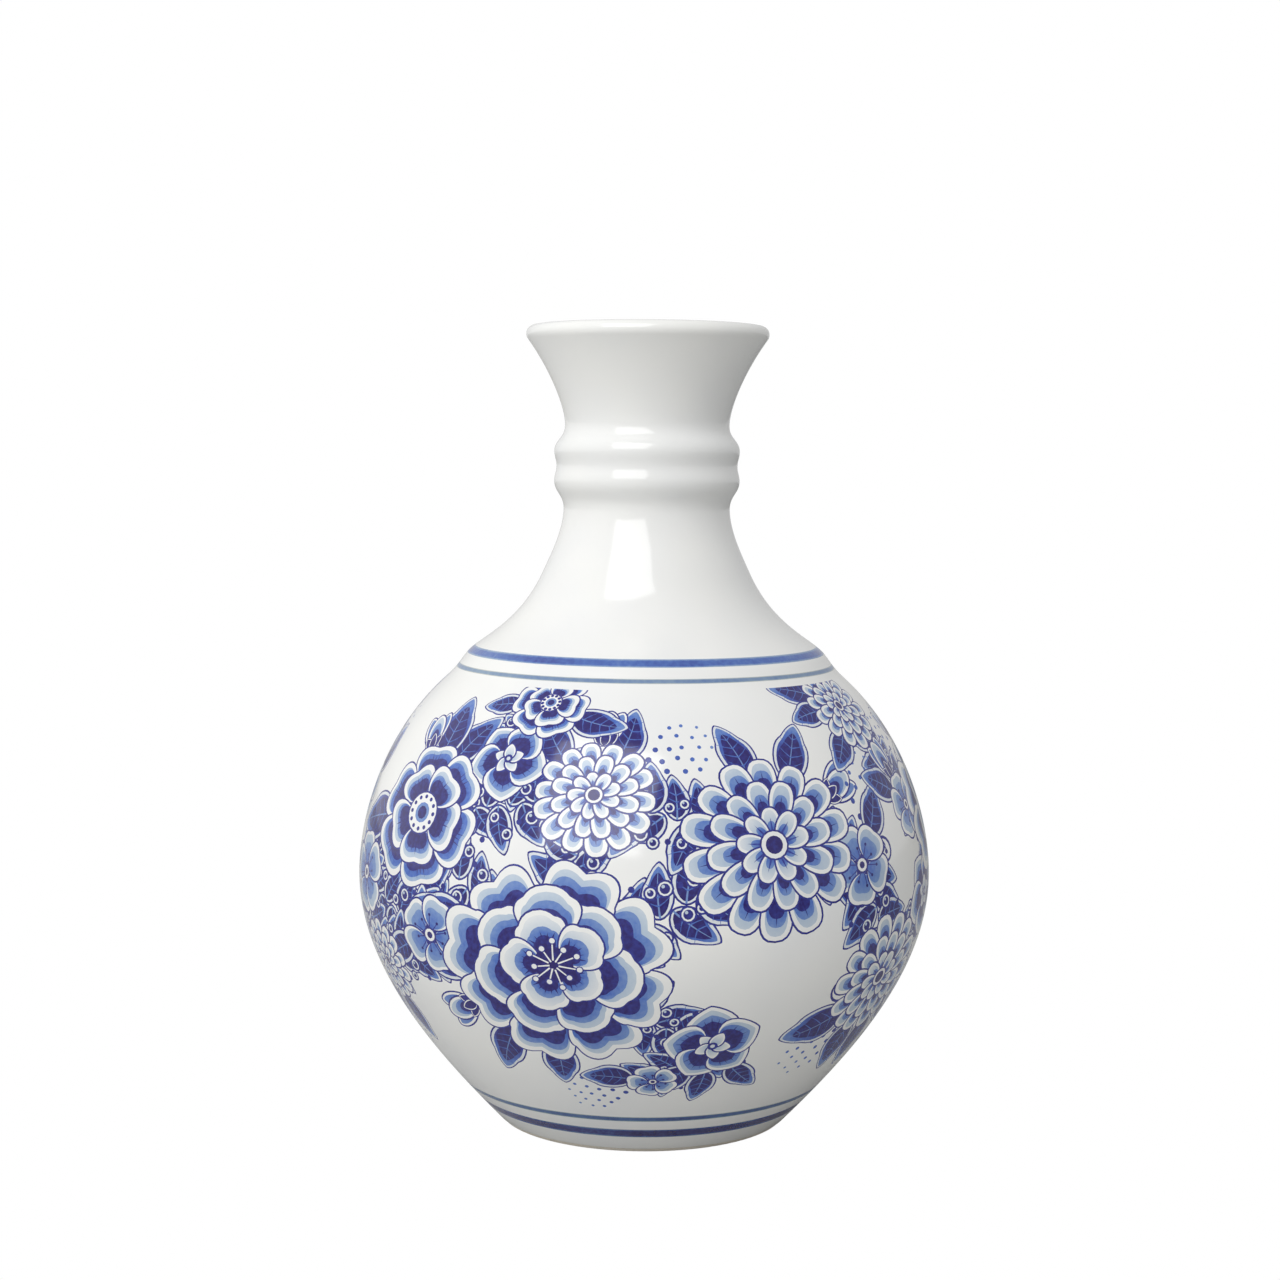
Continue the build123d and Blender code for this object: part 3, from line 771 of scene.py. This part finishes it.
def decoration(seed):
    """Every stroke, lowest first: the ground, what grows out of the flowers, small flowers, large ones."""
    rng = np.random.default_rng(seed)
    under, blooms, heads = [], [], []
    for first, second in THICKETS:
        start, end = (np.array([GARLAND[n].across, GARLAND[n].up], float) for n in (first, second))
        end[0] += ROUND_MM * round((start[0] - end[0]) / ROUND_MM)
        under += thicket(rng, start, end)
    for flower in GARLAND:
        place, r = np.array([flower.across, flower.up]), flower.radius
        rim = (0, r * 0.85)
        for angle in flower.dots:
            under += moved(moved(spray(rng), rim), place, turn=angle - 90)
        for angle in flower.curls:
            under += moved(moved(curl(2.8, 1), rim), place, turn=angle - 90)
        for angle in flower.leaves:
            long = rng.uniform(11, 15) * (0.6 + 0.4 * min(1, r / 14))
            blade = leaf(long, long * rng.uniform(0.55, 0.68), rng.uniform(-0.25, 0.25))
            under += moved(moved(blade, (0, r * 0.75)), place, turn=angle - 90 + rng.uniform(-6, 6))
        for angle in flower.buds:
            under += moved(moved(bud(10.5), (0, r * 0.92)), place, turn=angle - 90)
        head = moved(flower.kind(rng, r), spin=flower.spin, squash=flower.squash)
        blooms.append((r, moved(head, place)))
        heads.append((place, 0.8 * r * flower.squash, r))
    shown = []
    for r, strokes in [(0, under), *sorted(blooms, key=lambda bloom: bloom[0])]:
        over = [(place, reach) for place, reach, size in heads if size > r]
        for s in strokes:  # what lies wholly behind a larger flower is left out
            if not any(np.all(np.hypot(*(s.edge - place).T) < reach) for place, reach in over):
                shown.append(s)
    return shown


# The sheet is flat while it is drawn: across is the way round the belly and up is the way up it, both
# stretched alike to what they are at the widest line, so a round flower stays round on the bottle.
# It is cut twice: first along every stroke, to find what lies on top, then along the lines that are
# seen, with a grid between them that lets it bend.
GRID_MM = 1.3  # spacing of the points that bend the sheet round the belly
BACK_GRID = 3  # the back of the sheet, unseen, has one point for this many
STRAIGHT_MM = 0.004  # a point this near to the line between its neighbours is dropped
CUT_ERROR_MM = 1e-5
KEEP_ALL, KEEP_INSIDE = 0, 1  # whether a cut keeps all triangles, or those inside its outline
FACE_STARTS = 0.08  # the unwrapped face of a sheet starts this high; its back lies in the strip below
SEED = 11
sheet_up = np.concatenate([[0], np.cumsum(np.diff(skin.length) * BELLY_MM / skin.radius[1:])])
sheet_up -= sheet_up[np.argmax(skin.radius)]


def sides_of(triangles):
    return np.concatenate([triangles[:, [0, 1]], triangles[:, [1, 2]], triangles[:, [2, 0]]])


def cut(points, lines, rings, kind):
    """Points and triangles of a flat sheet cut along these lines, and the rings over each triangle."""
    made, _, faces, _, _, covers = geometry.delaunay_2d_cdt(
        [Vector(p) for p in points], lines, rings, kind, CUT_ERROR_MM, True)
    return np.array([tuple(p) for p in made]), np.array(faces), covers


def seen_lines(points, triangles, looks):
    """The rim and the edges between triangles that look different, less the points they run straight by."""
    ends, look = np.sort(sides_of(triangles), axis=1), np.tile(looks, 3)
    order = np.lexsort(ends.T)
    ends, look = ends[order], look[order]
    inner = np.flatnonzero((ends[:-1] == ends[1:]).all(axis=1))
    rim = np.delete(ends, np.concatenate([inner, inner + 1]), axis=0)
    joined = {}
    for a, b in np.concatenate([ends[inner[look[inner] != look[inner + 1]]], rim]).tolist():
        joined.setdefault(a, set()).add(b)
        joined.setdefault(b, set()).add(a)
    for point in set(joined) - set(rim.ravel().tolist()):
        if len(joined[point]) == 2:
            before, after = joined[point]
            run, off = points[after] - points[before], points[point] - points[before]
            straight = abs(run[0] * off[1] - run[1] * off[0]) < STRAIGHT_MM * math.hypot(*run)
            if straight and after not in joined[before]:
                joined[before] = joined[before] - {point} | {after}
                joined[after] = joined[after] - {point} | {before}
                del joined[point]
    number = {point: count for count, point in enumerate(joined)}
    lines = [(number[a], number[b]) for a in joined for b in joined[a] if a < b]
    return points[list(joined)], lines


def shapes_on(drawing, across, up):
    """The bare sheet inside this grid's rim, and every stroke that reaches it from any lap of the belly."""
    border = [(x, up[0]) for x in across] + [(across[-1], y) for y in up[1:]]
    border += [(x, up[-1]) for x in across[-2::-1]] + [(across[0], y) for y in up[-2:0:-1]]
    shapes = [plain(border, 0.0)]
    for shape in drawing:
        for lap in (-ROUND_MM, 0, ROUND_MM):
            edge = shape.edge + (lap, 0)
            if edge[:, 0].max() > across[0] and edge[:, 0].min() < across[-1]:
                shapes.append(shape._replace(edge=edge, origin=shape.origin + (lap, 0)))
    return shapes


def cut_along(shapes):
    """Points and triangles of the first shape cut along all their edges, and the top shape over each."""
    points, rings = [], []
    for shape in shapes:
        rings.append(list(range(len(points), len(points) + len(shape.edge))))
        left_handed = np.cross(shape.edge, np.roll(shape.edge, -1, axis=0)).sum() < 0
        points += shape.edge[:: -1 if left_handed else 1].tolist()
    points, faces, covers = cut(points, [], rings, KEEP_ALL)
    kept = [number for number, cover in enumerate(covers) if 0 in cover]
    return points, faces[kept], np.array([max(covers[number]) for number in kept])


def ink_at(shapes, corners):
    """Ink at the corners of triangles, each in a shape of its own."""
    origins, frames = np.array([s.origin for s in shapes]), np.array([s.frame for s in shapes])
    near, far, first, last = np.array([(s.near, s.far, *s.inks) for s in shapes]).T[:, :, None]
    local = np.einsum("nij,nkj->nki", frames, corners - origins[:, None])
    share = np.clip((np.hypot(local[..., 0], local[..., 1]) - near) / (far - near), 0, 1)
    return first + (last - first) * share


def printed_face(drawing, across, up):
    """Points, triangles and the ink at each triangle's corners, of the part of the sheet on this grid."""
    shapes = shapes_on(drawing, across, up)
    points, faces, top = cut_along(shapes)
    inks = np.array([shape.inks for shape in shapes])
    looks = np.where(inks[:, 0] == inks[:, 1], -inks[:, 0], np.arange(len(shapes)))  # equal plain inks match
    tree = BVHTree.FromPolygons([(x, y, 0.0) for x, y in points], faces.tolist())
    points, lines = seen_lines(points, faces, looks[top])
    grid = [(x, y) for y in up[1:-1] for x in across[1:-1]]
    points, triangles, _ = cut(points.tolist() + grid, lines, [], KEEP_INSIDE)
    corners = points[triangles]
    hits = [tree.ray_cast((x, y, 1.0), (0.0, 0.0, -1.0))[2] for x, y in corners.mean(axis=1)]
    return points, triangles, ink_at([shapes[number] for number in top[hits]], corners)


def rim_of(triangles):
    """The points round the rim of a flat sheet, in order."""
    sides = sides_of(triangles).tolist()
    both = set(map(tuple, sides))
    follows = {a: b for a, b in sides if (b, a) not in both}
    loop = [min(follows)]
    while follows[loop[-1]] != loop[0]:
        loop.append(follows[loop[-1]])
    return loop


def transfer(name, drawing, start):
    """Half the sheet, from its edge at start, as a closed solid with its face cut along each drawn edge."""
    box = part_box(name)
    low, high = (np.interp(length_at(corner[2]), skin.length, sheet_up) for corner in box)
    across = np.linspace(start, start + ROUND_MM / 2, round(ROUND_MM / 2 / GRID_MM) + 1)
    up = np.linspace(low, high, round((high - low) / GRID_MM) + 1)
    front, triangles, ink = printed_face(drawing, across, up)
    loop, coarse = rim_of(triangles), slice(BACK_GRID, -BACK_GRID, BACK_GRID)
    points = front[loop].tolist() + [(x, y) for y in up[coarse] for x in across[coarse]]
    back, back_triangles, _ = cut(points, [], [list(range(len(loop)))], KEEP_INSIDE)
    count = len(front)
    behind = list(range(count, count + len(loop)))
    rim = list(zip(loop, behind, behind[1:] + behind[:1], loop[1:] + loop[:1]))
    faces = triangles.tolist() + (back_triangles[:, ::-1] + count).tolist() + rim
    sheet = np.concatenate([front, back])
    depth = np.repeat([0.0, PRINT_MM], [count, len(back)])
    radius, height, out, rise = under_skin(np.interp(sheet[:, 1], sheet_up, skin.length), depth)
    turn = sheet[:, 0] / BELLY_MM
    place = np.stack([radius * np.sin(turn), -radius * np.cos(turn), height], axis=1) * MM
    normal = np.stack([out * np.sin(turn), -out * np.cos(turn), rise], axis=1)
    normal[count:] *= -1
    mesh = bpy.data.meshes.new(name + "_print")
    mesh.from_pydata(place.tolist(), [], faces)
    mesh.shade_smooth()
    mesh.normals_split_custom_set_from_vertices(normal.tolist())
    shown = np.zeros(len(mesh.loops), dtype=np.float32)
    shown[: ink.size] = ink.ravel()
    mesh.attributes.new("ink", "FLOAT", "CORNER").data.foreach_set("value", shown)
    flat = (sheet[np.concatenate(faces)] - (start, low)) / (ROUND_MM / 2, high - low)
    flat[: ink.size, 1] = FACE_STARTS + (1 - FACE_STARTS) * flat[: ink.size, 1]
    flat[ink.size :, 1] *= 0.6 * FACE_STARTS
    mesh.uv_layers.new(name="OFBake").data.foreach_set("uv", flat.astype(np.float32).ravel())
    put_in_place(name + "_print", mesh, print_material, name)


print_material, tree = new_material("cobalt_transfer_in_glaze")
place = add_node(tree, "ShaderNodeTexCoord").outputs["Object"]
ink = add_node(tree, "ShaderNodeAttribute", {"attribute_name": "ink"})
finish_in_glaze(tree, place, cobalt(tree, place, ink.outputs["Fac"]))

garland = decoration(SEED)
transfer("flower_transfer_front", garland, -ROUND_MM / 4)
transfer("flower_transfer_back", garland, ROUND_MM / 4)
